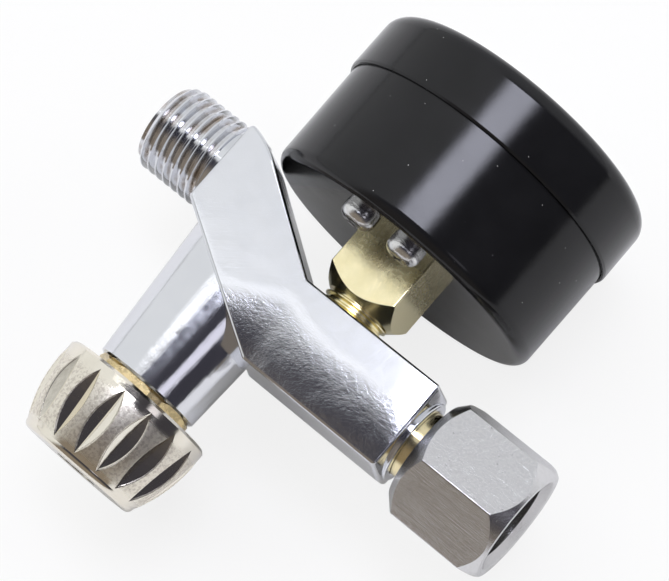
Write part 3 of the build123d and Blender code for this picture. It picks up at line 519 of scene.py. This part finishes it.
def add_number(bm, text, size, radius, angle):
    """Upright digits centred on a point of the dial."""
    curve = bpy.data.curves.new("digits", "FONT")
    curve.body = text
    curve.size = size * MM
    curve.align_x = "CENTER"
    curve.align_y = "CENTER"
    curve.extrude = PRINT_THICK / 2 * MM
    curve.offset = size * TEXT_BOLD * MM
    holder = bpy.data.objects.new("digits", curve)
    bpy.context.scene.collection.objects.link(holder)
    bpy.context.view_layer.update()
    evaluated = holder.evaluated_get(bpy.context.evaluated_depsgraph_get())
    mesh = bpy.data.meshes.new_from_object(evaluated)
    upright = Matrix(((1, 0, 0), (0, 0, -1), (0, 1, 0))).to_4x4()
    centre = dial_point(radius, angle, PRINT_THICK / 2 - TEXT_SUNK)
    mesh.transform(Matrix.Translation(centre) @ upright)
    bm.from_mesh(mesh)
    bpy.data.objects.remove(holder)
    bpy.data.curves.remove(curve)
    bpy.data.meshes.remove(mesh)


def add_piece(name, bm, finish, body):
    """Makes a piece of the visual model that moves with a body."""
    bmesh.ops.recalc_face_normals(bm, faces=bm.faces)
    mesh = bpy.data.meshes.new(name)
    bm.to_mesh(mesh)
    bm.free()
    mesh.materials.append(finish.material)
    piece = bpy.data.objects.new(name, mesh)
    bpy.context.scene.collection.objects.link(piece)
    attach(piece, body)


def dial_scale(divisions, major, ticks, numbers):
    """One scale: ticks are (inner, outer, width) for plain and then for major marks."""
    bm = bmesh.new()
    for index in range(divisions + 1):
        angle = SCALE_START - SCALE_SWEEP * index / divisions
        inner, outer, width = ticks[1] if index % major == 0 else ticks[0]
        add_tick(bm, inner, outer, angle, width)
    texts, size, radius = numbers
    gaps = len(texts) - 1
    for index, text in enumerate(texts):
        add_number(bm, text, size, radius, SCALE_START - SCALE_SWEEP * index / gaps)
    return bm


outer_scale = dial_scale(
    60, 5, [(15.9, 17.2, 0.22), (15.2, 17.2, 0.42)],
    (["0", "2", "4", "6", "8", "10", "12"], 3.4, 12.6),
)
add_arc(outer_scale, 17.1, 17.35)
add_piece("dial_outer_scale", outer_scale, marks_black, "valve_body")

print_red = painted("print_red", (0.42, 0.03, 0.03), (0.50, 0.05, 0.04))
inner_scale = dial_scale(
    36, 6, [(9.1, 9.8, 0.16), (8.7, 9.8, 0.26)],
    (["0", "30", "60", "90", "120", "150", "180"], 1.7, 7.2),
)
add_arc(inner_scale, 9.7, 9.88)
add_piece("dial_inner_scale", inner_scale, print_red, "valve_body")


# ---- surroundings -------------------------------------------------------------------------------

ROOM_DARK = (0.05, 0.048, 0.06)
ROOM_PALE = (0.88, 0.89, 0.9)
ROOM_WARM = (0.26, 0.22, 0.18)
ROOM_FRONT = (0.78, 0.79, 0.81)
BELOW_HORIZON = (0.62, 0.62, 0.62)

# Bright patches overhead: the range of x, its softness, the range of y, its softness, and the colour
PATCHES = (
    ((-0.80, -0.60), 0.05, (-0.12, 0.12), 0.03, (0.95, 0.93, 1.05)),       # a pale panel on the -X side
    ((0.10, 0.42), 0.08, (-0.100, -0.066), 0.012, (1.8, 1.8, 1.83)),       # a thin bright strip
    ((-0.24, 0.15), 0.08, (-0.33, -0.135), 0.03, (12.0, 12.2, 14.2)),      # the softbox
)


def studio():
    """A room that the metal reflects, and a white backdrop that only the camera sees."""
    world = bpy.data.worlds.new("studio")
    world.use_nodes = True
    bpy.context.scene.world = world
    sky = Tree(world.node_tree)
    background = world.node_tree.nodes["Background"]
    direction = sky.new("ShaderNodeTexCoord").outputs["Generated"]
    x, y, z = sky.axes(direction)
    above = sky.step(z, -0.02, 0.05)

    # Pale towards +X and -Y, dark overhead and towards -X, warm and dim towards +Y
    border = sky.step(y, -0.08, 0.2, 0.0, 0.34)
    tone = sky.mix(sky.step(sky.minus(x, border), 0.02, 0.3), ROOM_DARK, ROOM_PALE)
    warm = sky.times(sky.step(y, 0.25, 0.7), sky.step(x, 0.75, 0.35))
    tone = sky.mix(warm, tone, ROOM_WARM)
    tone = sky.mix(sky.step(y, -0.34, -0.6), tone, ROOM_FRONT)
    for x_range, x_soft, y_range, y_soft, color in PATCHES:
        patch = sky.times(sky.window(x, *x_range, x_soft), sky.window(y, *y_range, y_soft))
        tone = sky.mix(sky.times(patch, above), tone, color)
    tone = sky.mix(above, BELOW_HORIZON, tone)

    seen = sky.new("ShaderNodeLightPath").outputs["Is Camera Ray"]
    sky.put(background.inputs["Color"], sky.mix(seen, tone, (1.0, 1.0, 1.0)))
    background.inputs["Strength"].default_value = 1.0


FLOOR_HALF = 1.5          # metres
FLOOR_GAP = 0.0002        # metres under the part
FLOOR_GLOW = 0.82         # share of plain white that the camera sees on the floor


def floor():
    """A plain pale floor under the lowest point of the part."""
    low = cad_box[0].z - FLOOR_GAP
    corners = ((-1, -1), (1, -1), (1, 1), (-1, 1))
    bm = bmesh.new()
    bm.faces.new([bm.verts.new((sx * FLOOR_HALF, sy * FLOOR_HALF, low)) for sx, sy in corners])
    mesh = bpy.data.meshes.new("floor")
    bm.to_mesh(mesh)
    bm.free()
    paper = Finish("floor_paper", (0.62, 0.62, 0.62), roughness=0.9)
    shade = paper.mix(paper.noise(40.0, detail=3), (0.61, 0.61, 0.61), (0.64, 0.64, 0.64))
    paper.set("Base Color", shade)
    glow = paper.new("ShaderNodeEmission")
    glow.inputs["Color"].default_value = (1, 1, 1, 1)
    blend = paper.new("ShaderNodeMixShader")
    seen = paper.new("ShaderNodeLightPath").outputs["Is Camera Ray"]
    paper.put(blend.inputs[0], paper.times(seen, FLOOR_GLOW))
    paper.put(blend.inputs[1], paper.shader.outputs[0])
    paper.put(blend.inputs[2], glow.outputs[0])
    paper.put(paper.tree.nodes["Material Output"].inputs["Surface"], blend.outputs[0])
    mesh.materials.append(paper.material)
    plane = bpy.data.objects.new("floor", mesh)
    bpy.context.scene.collection.objects.link(plane)


def lamp(name, place, size, power):
    """A round area light that faces the part and shows in no reflection."""
    light = bpy.data.lights.new(name, "AREA")
    light.shape = "DISK"
    light.size = size
    light.energy = power
    holder = bpy.data.objects.new(name, light)
    bpy.context.scene.collection.objects.link(holder)
    holder.location = place
    holder.rotation_euler = (-Vector(place)).to_track_quat("-Z", "Y").to_euler()
    holder.visible_glossy = False
    holder.visible_camera = False


CAMERA_PLACE = Vector((-103.45, 51.39, 299.46))     # millimetres
CAMERA_BACK = Vector((-0.2619, 0.1523, 0.9530))     # direction from the part towards the camera
CAMERA_ROLL = -19.97                                # degrees
LENS = 128.55                                       # for a sensor 36 mm wide


def camera():
    """The photograph's view: from above the flat face, turned so that the knob points down and left."""
    data = bpy.data.cameras.new("camera")
    data.lens = LENS
    data.sensor_width = 36.0
    data.clip_start = 0.01
    holder = bpy.data.objects.new("camera", data)
    bpy.context.scene.collection.objects.link(holder)
    holder.location = CAMERA_PLACE * MM
    facing = CAMERA_BACK.normalized().to_track_quat("Z", "Y").to_matrix().to_4x4()
    roll = Matrix.Rotation(math.radians(CAMERA_ROLL), 4, "Z")
    holder.rotation_euler = (facing @ roll).to_euler()
    bpy.context.scene.camera = holder


studio()
floor()
lamp("floor_light", (0.3, -0.2, 1.2), 1.4, 14.0)
lamp("side_light", (-0.9, -0.8, 0.7), 0.8, 6.0)
camera()
bpy.context.scene.view_settings.view_transform = "Standard"
